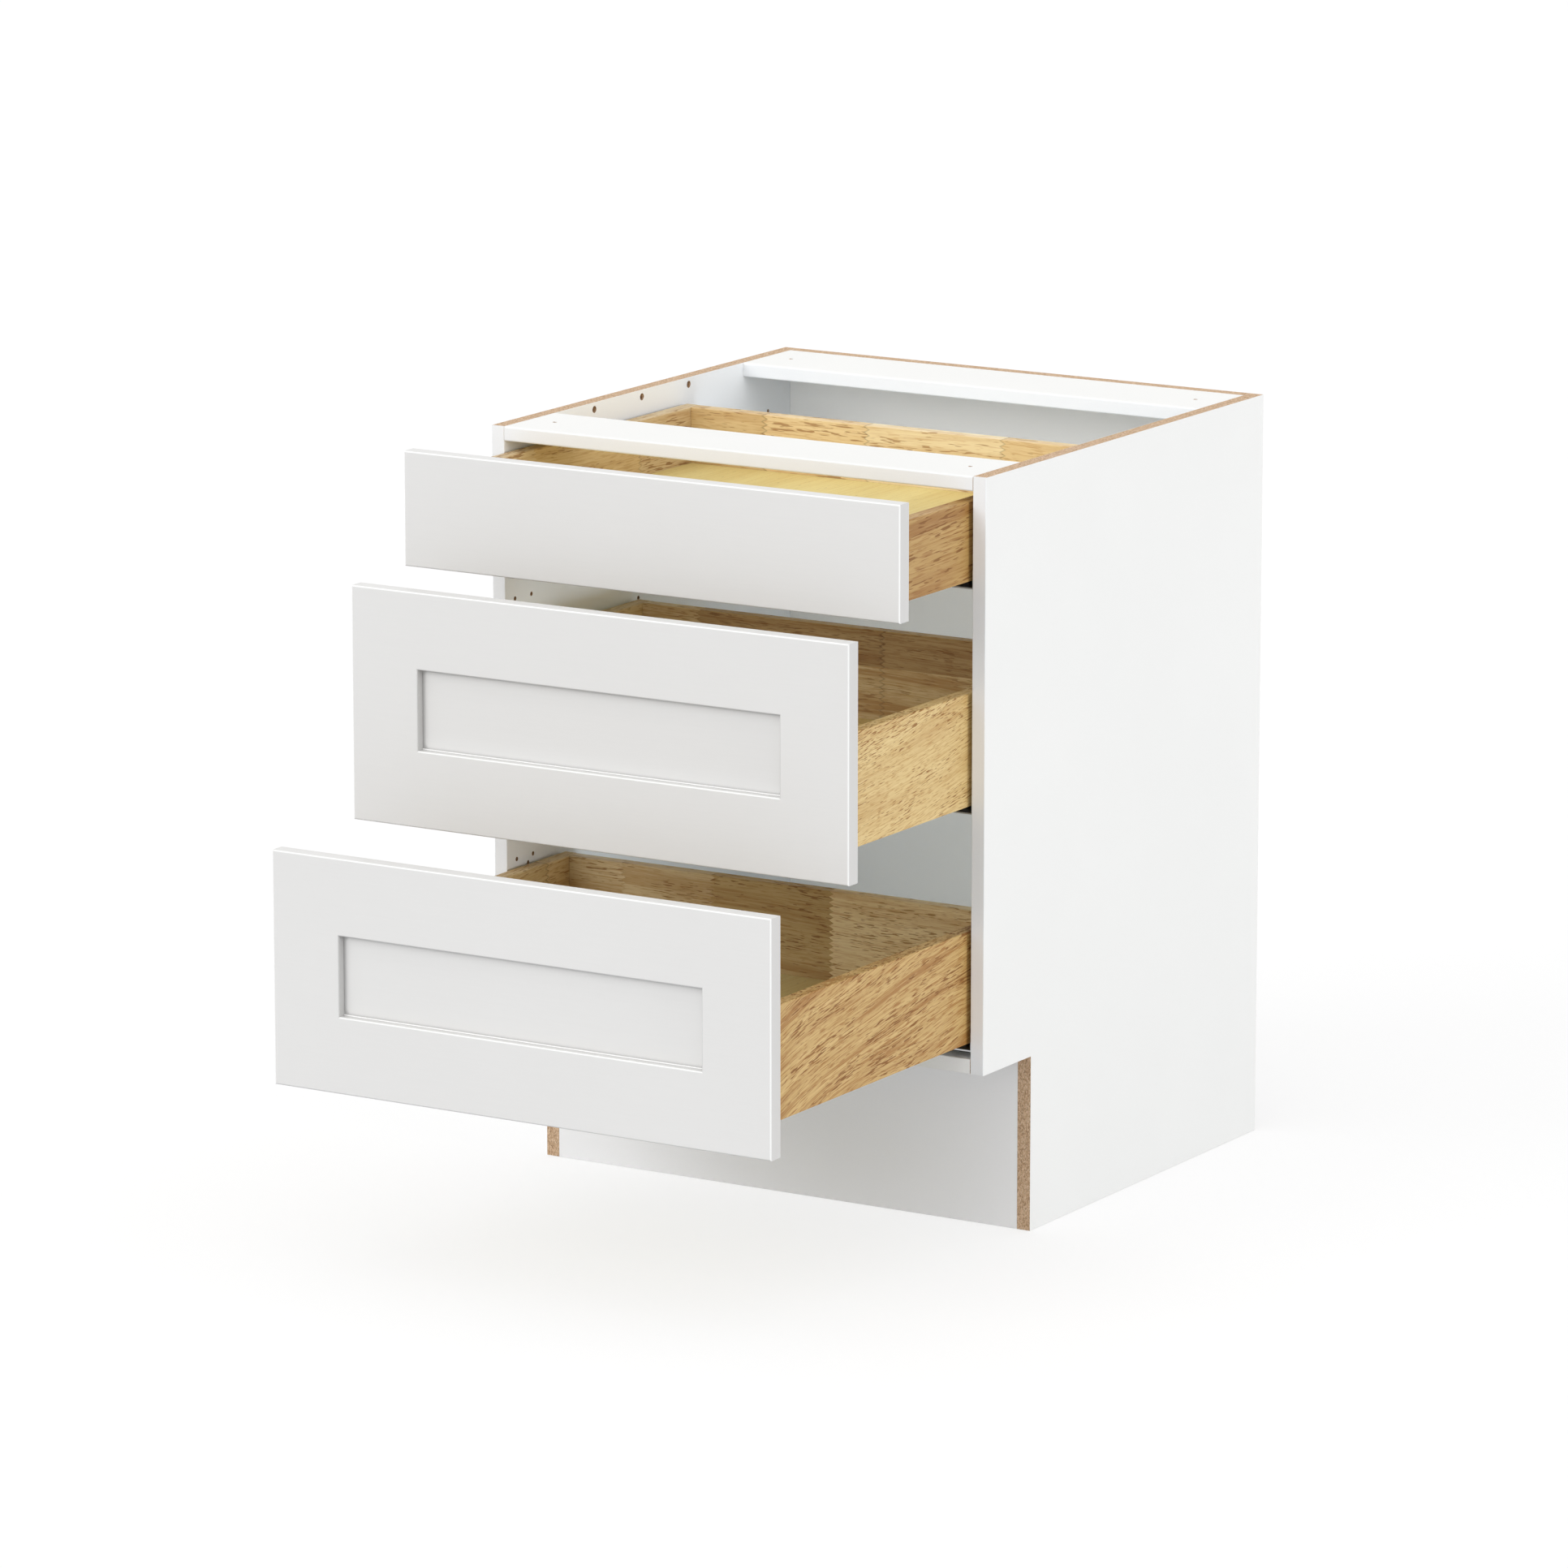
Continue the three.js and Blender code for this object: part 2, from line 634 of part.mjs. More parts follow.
// Release lever, drawn about its pivot: squeezed sideways, it frees the clip from the rail.
function releaseLever(drawer, { name, sign }) {
  const shape = new THREE.Shape();
  shape.absarc(0, 0, LEVER_RADIUS, Math.PI, 2 * Math.PI, false);
  shape.absarc(0, LEVER_REACH, LEVER_RADIUS, 0, Math.PI, false);
  shape.closePath();
  const bore = new THREE.Path();
  bore.absarc(0, 0, PIVOT_RADIUS + SEAT_GAP, 0, 2 * Math.PI, true);
  shape.holes.push(bore);
  const top = railTop - CLIP_PLATE - SEAT_GAP;
  const low = top - LEVER_THICKNESS;
  const bar = alongZ(shape, low, LEVER_THICKNESS);
  const padHeight = FINGER_PAD_THICKNESS + LEVER_THICKNESS / 2;
  const padCentre = low - FINGER_PAD_THICKNESS + padHeight / 2;
  const pad = rod('z', [0, LEVER_REACH, padCentre], FINGER_PAD_RADIUS, padHeight, 2 * HOLE_SIDES);
  const lever = piece(`${drawer.name}_${name}_release_lever`, 'leverPlastic', join([bar, pad]));
  lever.position.set(sign * (innerHalf - pivotInset), pivotY, 0);
  return lever;
}

// Everything that slides out with one drawer; y = 0 is the box's front face.
function drawerGroup(drawer) {
  const group = new THREE.Group();
  group.position.set(0, -BUMPER - drawer.opened, drawer.frontZ + drawer.boxLift);
  const low = -drawer.boxLift;
  const high = low + drawer.frontHeight;
  const front = drawer.framed ? framedFront(drawer, low, high) : slabFront(drawer, low, high);
  group.add(...front);
  group.add(boxFront(drawer), boxBack(drawer), boxBottom(drawer));
  for (const side of SIDES) {
    group.add(boxSide(drawer, side), drawerRail(drawer, side));
    group.add(lockingClip(drawer, side), releaseLever(drawer, side));
  }
  return group;
}

// The middle rails follow at half the drawer's travel.
function middleRailGroup(drawer) {
  const group = new THREE.Group();
  group.position.set(0, -BUMPER - drawer.opened / 2, drawer.frontZ + drawer.boxLift);
  group.add(...SIDES.map((side) => middleRail(drawer, side)));
  return group;
}

function cabinetRailGroup(drawer) {
  const group = new THREE.Group();
  group.position.z = drawer.frontZ + drawer.boxLift;
  group.add(...SIDES.map((side) => cabinetRail(drawer, side)));
  return group;
}

const cabinet = new THREE.Group();
cabinet.add(...carcassBoards());
for (const drawer of DRAWERS) {
  cabinet.add(cabinetRailGroup(drawer), middleRailGroup(drawer), drawerGroup(drawer));
}
// The origin is the middle of the footprint, from the bottom drawer's front to the wall face.
const frontReach = BUMPER + FRONT_THICKNESS + Math.max(...DRAWERS.map((drawer) => drawer.opened));
cabinet.position.y = (frontReach - CABINET_DEPTH) / 2;

export default cabinet;
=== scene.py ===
import json
import math

import bmesh
import bpy
from mathutils import Matrix, Vector


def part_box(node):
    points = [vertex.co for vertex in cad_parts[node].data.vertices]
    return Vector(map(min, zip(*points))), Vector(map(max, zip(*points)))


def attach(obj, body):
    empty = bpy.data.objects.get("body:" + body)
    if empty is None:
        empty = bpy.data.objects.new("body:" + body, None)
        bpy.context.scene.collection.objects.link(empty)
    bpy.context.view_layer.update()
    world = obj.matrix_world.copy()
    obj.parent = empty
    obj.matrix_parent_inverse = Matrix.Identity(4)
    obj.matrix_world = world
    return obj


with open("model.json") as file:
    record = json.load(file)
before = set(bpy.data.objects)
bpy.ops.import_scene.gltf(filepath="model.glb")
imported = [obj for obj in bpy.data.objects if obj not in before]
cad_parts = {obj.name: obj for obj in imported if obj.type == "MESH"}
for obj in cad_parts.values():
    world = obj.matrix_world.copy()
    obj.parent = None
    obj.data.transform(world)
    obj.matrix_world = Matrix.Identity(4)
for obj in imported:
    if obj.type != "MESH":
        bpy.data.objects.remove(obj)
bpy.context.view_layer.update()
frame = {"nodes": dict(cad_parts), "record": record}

nodes = frame["nodes"]

MM = 0.001
X, Y, Z = range(3)
SIDES = {"left": -1, "right": 1}
STRETCHERS = ("front_stretcher", "rear_stretcher")
FRONT_BOARDS = {
    "top": "top_drawer_front",
    "middle": "middle_front_frame",
    "bottom": "bottom_front_frame",
}
FRAMED = ("middle", "bottom")


def corners(name):
    """Lowest and highest corner of a CAD node at rest, in millimetres."""
    low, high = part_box(name)
    return low / MM, high / MM


# Sizes of the CAD part that several looks are lined up with, in millimetres.
panel_low, panel_high = corners("right_side_panel")
INNER_HALF, OUTER_HALF = panel_low.x, panel_high.x
CARCASS_FRONT = panel_low.y
FRAME_WIDTH = 82
WORKTOP_HOLE_INSET = 32


class Nodes:
    """The nodes of one material or world, with short ways to add and link them."""

    def __init__(self, owner):
        owner.use_nodes = True
        self.tree = owner.node_tree
        self.tree.nodes.clear()

    def put(self, socket, value):
        if isinstance(value, bpy.types.NodeSocket):
            self.tree.links.new(value, socket)
        else:
            socket.default_value = value

    def node(self, kind, inputs=None, **settings):
        made = self.tree.nodes.new("ShaderNode" + kind)
        for key, value in settings.items():
            setattr(made, key, value)
        for key, value in (inputs or {}).items():
            self.put(made.inputs[key], value)
        return made

    def math(self, operation, *values, clamp=False):
        made = self.node("Math", operation=operation, use_clamp=clamp)
        for socket, value in zip(made.inputs, values):
            self.put(socket, value)
        return made.outputs[0]

    def add(self, a, b):
        return self.math("ADD", a, b)

    def subtract(self, a, b):
        return self.math("SUBTRACT", a, b)

    def times(self, a, b):
        return self.math("MULTIPLY", a, b)

    def size(self, value):
        return self.math("ABSOLUTE", value)

    def either(self, a, b):
        return self.math("MAXIMUM", a, b)

    def larger(self, a, b):
        return self.math("GREATER_THAN", a, b)

    def smaller(self, a, b):
        return self.math("LESS_THAN", a, b)

    def between(self, value, low, high):
        """1 where low < value < high, the limits in millimetres."""
        return self.times(self.larger(value, low * MM), self.smaller(value, high * MM))

    def seen(self):
        """1 for the rays that show the background."""
        path = self.node("LightPath").outputs
        camera_or_gloss = self.either(path["Is Camera Ray"], path["Is Glossy Ray"])
        return self.either(camera_or_gloss, path["Is Transmission Ray"])


class Shader(Nodes):
    """One material of the object or the stage."""

    def __init__(self, name):
        self.material = bpy.data.materials.new(name)
        super().__init__(self.material)
        self.place = self.node("TexCoord").outputs["Object"]
        self.normal = self.node("NewGeometry").outputs["True Normal"]

    def split(self, vector):
        return self.node("SeparateXYZ", {"Vector": vector}).outputs

    def join(self, x, y, z):
        return self.node("CombineXYZ", {"X": x, "Y": y, "Z": z}).outputs[0]

    def scaled(self, x, y, z):
        """The place on the object, multiplied by a factor along each axis."""
        return self.node("Mapping", {"Vector": self.place, "Scale": (x, y, z)}).outputs[0]

    def noise(self, vector, detail=2.0, roughness=0.5, distortion=0.0):
        inputs = {
            "Vector": vector,
            "Scale": 1.0,
            "Detail": detail,
            "Roughness": roughness,
            "Distortion": distortion,
        }
        return self.node("TexNoise", inputs).outputs["Fac"]

    def even_noise(self, scale, detail=2.0, roughness=0.5):
        """Noise of the same scale along every axis."""
        return self.noise(self.scaled(scale, scale, scale), detail, roughness)

    def ramp(self, value, low, high, to_low=0.0, to_high=1.0):
        inputs = {
            "Value": value,
            "From Min": low,
            "From Max": high,
            "To Min": to_low,
            "To Max": to_high,
        }
        return self.node("MapRange", inputs, interpolation_type="SMOOTHSTEP").outputs[0]

    def steps(self, value, stops, constant=True):
        """Colours by place along value, which runs from 0 to 1."""
        made = self.node("ValToRGB", {"Fac": value})
        band = made.color_ramp
        band.interpolation = "CONSTANT" if constant else "LINEAR"
        while len(band.elements) < len(stops):
            band.elements.new(1.0)
        for element, (position, colour) in zip(band.elements, stops):
            element.position = position
            element.color = (*colour, 1.0)
        return made.outputs["Color"]

    def mix(self, factor, first, second, blend="MIX"):
        made = self.node("Mix", data_type="RGBA", blend_type=blend)
        colours = [s for s in made.inputs if s.type == "RGBA"]
        self.put(made.inputs[0], factor)
        for socket, value in zip(colours, (first, second)):
            self.put(socket, (*value, 1.0) if isinstance(value, tuple) else value)
        return [s for s in made.outputs if s.type == "RGBA"][0]

    def tinted(self, colour, level):
        inputs = {0: colour, "Scale": level}
        return self.node("VectorMath", inputs, operation="SCALE").outputs[0]

    def multiplied(self, first, second):
        return self.mix(1.0, first, second, "MULTIPLY")

    def bump(self, height, strength, distance, under=None):
        inputs = {"Height": height, "Strength": strength, "Distance": distance}
        if under is not None:
            inputs["Normal"] = under
        return self.node("Bump", inputs).outputs[0]

    def output(self, surface):
        self.put(self.node("OutputMaterial").inputs["Surface"], surface)
        return self.material

    def finish(self, colour, roughness, normal, **sockets):
        inputs = {"Base Color": colour, "Roughness": roughness, "Normal": normal, **sockets}
        return self.output(self.node("BsdfPrincipled", inputs).outputs[0])


# Carcass boards: satin white facing over particleboard that shows at cut edges.
WHITE_BOARD = (0.895, 0.895, 0.878)
# Painted shade: a cooler, slightly darker white on the faces that inside picks, offsetting the
# warm light that the wood bounces onto them.
PAINTED_COOL_SHADE_WHITE = (0.865, 0.885, 0.905)
TOE_WHITE = (0.93, 0.93, 0.935)
FOIL = 0.15
EDGE_TAPE = 1.1
HOLE_MARGIN = 1
HOLE_REACH = 4
HOLE_FOOT = 2
# Sizes of a normal's part along an axis, above which a face counts as square to it.
SQUARE_ON = 0.5
END_ON = 0.7
CHIP_SCALE = 520.0
CHIP_THICKNESS_SCALE = 1300.0
CHIP_GAP = (0.22, 0.12, 0.06)
CHIP_SPECK = (0.40, 0.23, 0.12)
CHIPS = [
    (0.0, (0.34, 0.20, 0.11)),
    (0.12, (0.52, 0.34, 0.20)),
    (0.30, (0.62, 0.42, 0.26)),
    (0.55, (0.70, 0.49, 0.32)),
    (0.80, (0.80, 0.62, 0.44)),
    (1.0, (0.56, 0.36, 0.21)),
]


def chips(s, thick_axis):
    """Pressed wood chips that lie flat in the board: (colour, height)."""
    scales = [CHIP_SCALE] * 3
    scales[thick_axis] = CHIP_THICKNESS_SCALE
    warp = s.even_noise(500.0, detail=1.0)
    inputs = {0: s.scaled(*scales), 1: s.join(warp, warp, warp)}
    warped = s.node("VectorMath", inputs, operation="ADD").outputs[0]
    cells = s.node("TexVoronoi", {"Vector": warped, "Scale": 1.0, "Randomness": 1.0})
    pick = s.split(cells.outputs["Color"])[0]
    gaps = s.ramp(cells.outputs["Distance"], 0.55, 0.95)
    specks = s.even_noise(1500.0)
    colour = s.steps(pick, CHIPS, constant=False)
    colour = s.mix(s.times(gaps, 0.75), colour, CHIP_GAP)
    colour = s.mix(s.ramp(specks, 0.35, 0.75, 0.0, 0.35), colour, CHIP_SPECK)
    return colour, s.subtract(specks, s.times(gaps, 0.8))


def board_material(name, thick_axis, bare, white=WHITE_BOARD, inside=None):
    """bare gives 1 where the particleboard shows, inside 1 on faces that take a cooler, slightly
    darker white: painted shade that offsets the warm light the wood bounces onto them.

    Both are told the place on the object and the size of the normal's part along each axis.
    """
    s = Shader(name)
    place = s.split(s.place)[:3]
    facing = [s.size(part) for part in s.split(s.normal)[:3]]
    cover = s.even_noise(900.0, detail=3.0, roughness=0.6)
    cloud = s.even_noise(5.0)
    tint = s.add(s.ramp(cloud, 0.3, 0.7, 0.985, 1.0), s.ramp(cover, 0.3, 0.7, -0.008, 0.008))
    # Painted cool shade on the faces that inside picks.
    foil = white if inside is None else s.mix(inside(s, place, facing), white, PAINTED_COOL_SHADE_WHITE)
    chip_colour, chip_height = chips(s, thick_axis)
    mask = bare(s, place, facing)
    colour = s.mix(mask, s.tinted(foil, tint), chip_colour)
    roughness = s.add(s.ramp(cover, 0.3, 0.7, 0.46, 0.58), s.times(mask, 0.35))
    normal = s.bump(cover, 0.08, 0.0002)
    normal = s.bump(s.times(chip_height, mask), 0.5, 0.0006, normal)
    return s.finish(colour, roughness, normal)


def side_bare(s, place, facing):
    depth = s.size(place[X])
    cut_edge = s.smaller(facing[X], SQUARE_ON)
    in_hole = s.between(depth, INNER_HALF + HOLE_MARGIN, OUTER_HALF - HOLE_MARGIN)
    core = s.between(depth, INNER_HALF + FOIL, OUTER_HALF - FOIL)
    behind_tape = s.larger(place[Y], (CARCASS_FRONT + EDGE_TAPE) * MM)
    return s.times(s.times(s.either(cut_edge, in_hole), core), behind_tape)


# Faces that take the painted cool shade: the inner face and the front tape.
def side_inside(s, place, facing):
    inner_face = s.smaller(s.size(place[X]), (INNER_HALF + FOIL) * MM)
    tape = s.smaller(place[Y], (CARCASS_FRONT + EDGE_TAPE) * MM)
    return s.either(inner_face, s.times(tape, s.larger(facing[Y], SQUARE_ON)))


def back_bare(s, place, facing):
    low, high = corners("back_panel")
    core = s.between(place[Y], low.y + FOIL, high.y - FOIL)
    return s.times(s.smaller(facing[Y], SQUARE_ON), core)


def floor_bare(s, place, facing):
    return s.larger(facing[X], SQUARE_ON)


def stretcher_bare(s, place, facing):
    """The walls of the worktop screw holes and the boards' ends."""
    low, high = corners(STRETCHERS[0])
    from_hole = s.size(s.subtract(s.size(place[X]), (INNER_HALF - WORKTOP_HOLE_INSET) * MM))
    wall = s.times(s.smaller(facing[Z], SQUARE_ON), s.smaller(from_hole, HOLE_REACH * MM))
    wall = s.times(wall, s.between(place[Z], low.z + HOLE_FOOT, high.z - 2 * FOIL))
    rows = []
    for name in STRETCHERS:
        low, high = corners(name)
        rows.append(s.between(place[Y], low.y + HOLE_REACH, high.y - HOLE_REACH))
    return s.either(s.times(wall, s.either(*rows)), s.larger(facing[X], END_ON))


# Faces that take the painted cool shade: those that look front or back.
def stretcher_inside(s, place, facing):
    return s.larger(facing[Y], SQUARE_ON)


def toe_bare(s, place, facing):
    front = corners("toe_kick_board")[0].y
    return s.times(s.smaller(facing[Y], SQUARE_ON), s.larger(place[Y], (front + FOIL) * MM))


# Drawer fronts: satin lacquer with the faint brush of the wood below.
# Their colour also holds painted light: a painted highlight on rounded edges, and painted shade
# on edges that look down, on the outer sides, on the recess walls and in corners.
LACQUER = (0.735, 0.728, 0.714)
# Painted highlight on rounded edges, and painted shade on the rounded edges that look down.
PAINTED_EDGE_HIGHLIGHT = (0.93, 0.93, 0.92)
PAINTED_UNDER_EDGE_SHADE = (0.52, 0.515, 0.51)
# Painted shade on the outer sides of the fronts.
PAINTED_SIDE_SHADE = (0.66, 0.65, 0.635)
# Painted shade on the side walls of the recess.
PAINTED_WALL_SHADE = (0.52, 0.515, 0.505)
# Painted shade in corners and creases, set by ambient occlusion within CORNER_SHADE metres.
PAINTED_CORNER_SHADE = (0.36, 0.355, 0.35)
CORNER_SHADE = 0.007
CORNER_SAMPLES = 16
# Rounded edges whose normal points lower than this get the painted shade, not the painted
# highlight.
LOOKS_DOWN = -0.2
# Largest part of the normal on a flat face and on a rounded edge.
FLAT_FACE, ROUNDED_EDGE = 0.995, 0.93
# Values of outward, in metres: on the boards' outer sides, and on the recess walls, where the
# painted side shade and the painted wall shade lie.
OUTER_SIDE = 0.28
WALL_START, WALL_FULL = -0.01, -0.15


def lacquer_material():
    """outward is the distance from the middle, negative on faces that look towards it.

    The colour also holds painted light: a painted highlight on rounded edges, and painted shade
    on edges that look down, on the outer sides, on the recess walls and in corners.
    """
    s = Shader("front_lacquer")
    cloud = s.even_noise(4.0)
    brush = s.noise(s.scaled(14.0, 300.0, 420.0), detail=3.0, roughness=0.6)
    skin = s.even_noise(700.0)
    facing = s.split(s.normal)[:3]
    squares = [s.size(part) for part in facing]
    flat = s.either(s.either(squares[X], squares[Y]), squares[Z])
    outward = s.times(s.split(s.place)[X], facing[X])
    rounded = s.times(s.ramp(flat, FLAT_FACE, ROUNDED_EDGE), s.larger(outward, WALL_START))
    # Painted highlight on rounded edges, painted shade on those that look down.
    edge = s.mix(s.smaller(facing[Z], LOOKS_DOWN), PAINTED_EDGE_HIGHLIGHT, PAINTED_UNDER_EDGE_SHADE)
    # Painted shade in corners, from ambient occlusion.
    nearby = s.node("AmbientOcclusion", {"Distance": CORNER_SHADE}, samples=CORNER_SAMPLES)
    shade = s.ramp(nearby.outputs["AO"], 0.5, 0.9, 0.75, 0.0)
    corner = s.times(shade, s.smaller(facing[Z], SQUARE_ON))

    tint = s.add(s.ramp(cloud, 0.3, 0.7, 0.99, 1.0), s.ramp(brush, 0.3, 0.7, -0.004, 0.004))
    # Painted shade on the outer sides.
    colour = s.mix(s.larger(outward, OUTER_SIDE), s.tinted(LACQUER, tint), PAINTED_SIDE_SHADE)
    # Painted highlight and painted shade on the rounded edges.
    colour = s.mix(rounded, colour, edge)
    # Painted corner shade.
    colour = s.mix(corner, colour, PAINTED_CORNER_SHADE)
    # Painted shade on the recess walls.
    colour = s.mix(s.ramp(outward, WALL_START, WALL_FULL, 0.0, 0.95), colour, PAINTED_WALL_SHADE)
    roughness = s.add(s.ramp(skin, 0.3, 0.7, 0.28, 0.34), s.ramp(brush, 0.3, 0.7, 0.0, 0.03))
    normal = s.bump(brush, 0.04, 0.0003)
    normal = s.bump(skin, 0.03, 0.0002, normal)
    return s.finish(colour, roughness, normal)


# Box boards: staves finger-jointed end to end.
ZIGZAG_PITCH = 0.0032
ZIGZAG_REACH = 1.9
END_MARGIN = 1
JOINT_TONE = 0.62
JOINT_SPREAD = 0.0016
STAVE_SEED, LOWER_STAVE_SEED = 0.13, 0.61
STAVE_SHIFT = 0.37
STAVE_SPACING = 7.0
DARK_WOOD = (0.66, 0.48, 0.30)
LIGHT_WOOD = (1.16, 1.23, 1.36)
PORE = (0.42, 0.26, 0.14)
RING_TONE = 0.7


def grey(level):
    return (level,) * 3


def shaded(colour, factors):
    return tuple(part * factor for part, factor in zip(colour, factors))


def stave_row(s, share, low, high, first, joints, seed):
    """Colour, grain offset and joint shade of staves; share runs from 0 at low to 1 at high."""
    starts = [0.0] + [(joint - low) / (high - low) for joint, _ in joints]
    tones = [first] + [tone for _, tone in joints]
    offsets = [grey((seed + STAVE_SHIFT * i) % 1.0) for i in range(len(starts))]
    seams = [(0.0, grey(1.0))]
    for start in starts[1:]:
        seams.append((start - JOINT_SPREAD, grey(1.0)))
        seams.append((start, grey(JOINT_TONE)))
        seams.append((start + JOINT_SPREAD, grey(1.0)))
    return (
        s.steps(share, list(zip(starts, tones))),
        s.steps(share, list(zip(starts, offsets))),
        s.steps(share, seams, constant=False),
    )


def bent_height(s, along, up, offset, low, rise, fall, swing):
    """Height over the line of the grain, which climbs along the board and wavers."""
    wave = s.noise(s.join(s.times(along, 3.0), s.times(up, 8.0), offset), detail=1.0)
    run = s.subtract(along, low * MM)
    climb = s.times(run, s.subtract(rise, s.times(run, fall / 2)))
    return s.add(s.subtract(up, climb), s.times(s.subtract(wave, 0.5), 0.02 * swing))


def dark_pores(s, grain, flecks, size):
    """The pores stand closer together in some clusters."""
    pores = grain(66.0 / size, 640.0 / size, 400.0 / size, detail=1.0)
    clusters = grain(9.0, 50.0, 30.0, detail=1.0)
    threshold = s.subtract(0.70, s.ramp(clusters, 0.38, 0.62, 0.0, 0.14))
    marks = s.math("MULTIPLY", s.subtract(pores, threshold), 18.0, clamp=True)
    return s.times(marks, flecks)


def end_grain(s, through, up, dark):
    rings = s.noise(s.join(s.times(through, 160.0), s.times(up, 900.0), 0.0), detail=3.0)
    return s.mix(s.ramp(rings, 0.35, 0.65), dark, s.multiplied(dark, grey(RING_TONE)))


def wood_material(name, axis, low, high, first, joints, rise=0.0, fall=0.0, bands=0.5,
                  fibres=0.5, dashes=0.4, flecks=0.5, fleck_size=1.0, swing=1.0, band_width=1.0,
                  glue_line=None, lower_first=None, lower_joints=()):
    """A board along axis, from low to high. Its first stave has the tone first, and joints
    are (where the next stave starts, its tone), in millimetres.

    The grain leaves the low end at slope rise, which falls off along the board by fall a metre.
    bands, fibres, dashes and flecks say how strong the broad figure, the fine streaks, the short
    dashes and the dark pores are. Below glue_line a second row of staves takes over.
    """
    s = Shader(name)
    parts = s.split(s.place)
    along, through, up = parts[axis], parts[1 - axis], parts[Z]
    zigzag = s.times(s.math("PINGPONG", up, ZIGZAG_PITCH), ZIGZAG_REACH)
    ends = {"Value": s.add(along, zigzag), "From Min": low * MM, "From Max": high * MM}
    share = s.node("MapRange", ends).outputs[0]
    base, shift, seam = stave_row(s, share, low, high, first, joints, STAVE_SEED)
    if glue_line is not None:
        lower = stave_row(s, share, low, high, lower_first, lower_joints, LOWER_STAVE_SEED)
        upper = s.larger(up, glue_line * MM)
        base, shift = s.mix(upper, lower[0], base), s.mix(upper, lower[1], shift)
    offset = s.times(s.split(shift)[0], STAVE_SPACING)
    bent = bent_height(s, along, up, offset, low, rise, fall, swing)

    def grain(along_scale, across_scale, through_scale, **settings):
        depth = s.add(s.times(through, through_scale), offset)
        vector = s.join(s.times(along, along_scale), s.times(bent, across_scale), depth)
        return s.noise(vector, **settings)

    broad = grain(4.0, 55.0 / band_width, 30.0, detail=2.0, roughness=0.6, distortion=0.3)
    streaks = grain(11.0, 420.0, 240.0, detail=3.0, roughness=0.72)
    short = grain(62.0 / fleck_size, 760.0 / fleck_size, 450.0 / fleck_size, detail=1.0)
    pores = dark_pores(s, grain, flecks, fleck_size)

    dark, light, pore = (s.multiplied(base, tone) for tone in (DARK_WOOD, LIGHT_WOOD, PORE))
    colour = s.mix(s.ramp(broad, 0.48, 0.30, 0.0, bands), base, light)
    colour = s.mix(s.ramp(broad, 0.48, 0.66, 0.0, bands), colour, dark)
    colour = s.mix(s.ramp(streaks, 0.46, 0.30, 0.0, fibres), colour, light)
    colour = s.mix(s.ramp(streaks, 0.50, 0.68, 0.0, fibres), colour, dark)
    colour = s.mix(s.ramp(short, 0.54, 0.66, 0.0, dashes), colour, dark)
    colour = s.multiplied(s.mix(pores, colour, pore), seam)
    on_end = s.larger(s.size(s.split(s.normal)[axis]), END_ON)
    colour = s.mix(on_end, colour, end_grain(s, through, up, dark))
    roughness = s.add(s.ramp(streaks, 0.3, 0.7, 0.42, 0.56), s.times(pores, 0.2))
    normal = s.bump(streaks, 0.15, 0.0004)
    normal = s.bump(s.subtract(1.0, pores), 0.35, 0.0003, normal)
    return s.finish(colour, roughness, normal)


VENEER_DARK = (0.84, 0.76, 0.62)
VENEER_TICK = 0.5


def veneer_material(name, tone):
    """Pale plywood face, its grain running front to back."""
    s = Shader(name)
    x, y, z = s.split(s.place)[:3]
    swing = s.noise(s.join(s.times(x, 8.0), s.times(y, 2.0), z), detail=1.0)
    across = s.add(x, s.times(swing, 0.03))

    def grain(across_scale, along_scale, **settings):
        vector = s.join(s.times(across, across_scale), s.times(y, along_scale), z)
        return s.noise(vector, **settings)

    broad = grain(22.0, 1.6, detail=3.0)
    fine = grain(330.0, 12.0, detail=3.0, roughness=0.6)
    ticks = grain(900.0, 90.0, detail=1.0)
    dark = shaded(tone, VENEER_DARK)
    colour = s.mix(s.ramp(broad, 0.35, 0.68, 0.0, 0.55), tone, dark)
    colour = s.mix(s.ramp(fine, 0.42, 0.72, 0.0, 0.5), colour, dark)
    colour = s.mix(s.ramp(ticks, 0.66, 0.74, 0.0, 0.45), colour, shaded(dark, grey(VENEER_TICK)))
    return s.finish(colour, s.ramp(fine, 0.3, 0.7, 0.40, 0.52), s.bump(fine, 0.10, 0.0003))


DULL_ZINC, BRIGHT_ZINC = (0.42, 0.43, 0.44), (0.66, 0.67, 0.68)
CLEAN_STEEL, WORN_STEEL = (0.55, 0.55, 0.53), (0.40, 0.40, 0.39)
CLEAR_SILICONE, HAZY_SILICONE = (0.80, 0.81, 0.80), (0.70, 0.71, 0.70)
CLIP_GREY = (0.16, 0.165, 0.17)
LEVER_ORANGE = (0.60, 0.22, 0.05)


def steel_material():
    s = Shader("zinc_plated_steel")
    spangle = s.node("TexVoronoi", {"Vector": s.scaled(160.0, 90.0, 160.0), "Scale": 1.0})
    shade = s.split(spangle.outputs["Color"])[0]
    rolled = s.noise(s.scaled(900.0, 12.0, 900.0), detail=3.0)
    tone = s.add(s.times(shade, 0.10), s.ramp(rolled, 0.3, 0.7, -0.05, 0.05))
    colour = s.mix(s.add(0.4, tone), DULL_ZINC, BRIGHT_ZINC)
    roughness = s.add(s.ramp(rolled, 0.3, 0.7, 0.26, 0.40), s.times(shade, 0.06))
    return s.finish(colour, roughness, s.bump(rolled, 0.10, 0.0002), Metallic=1.0)


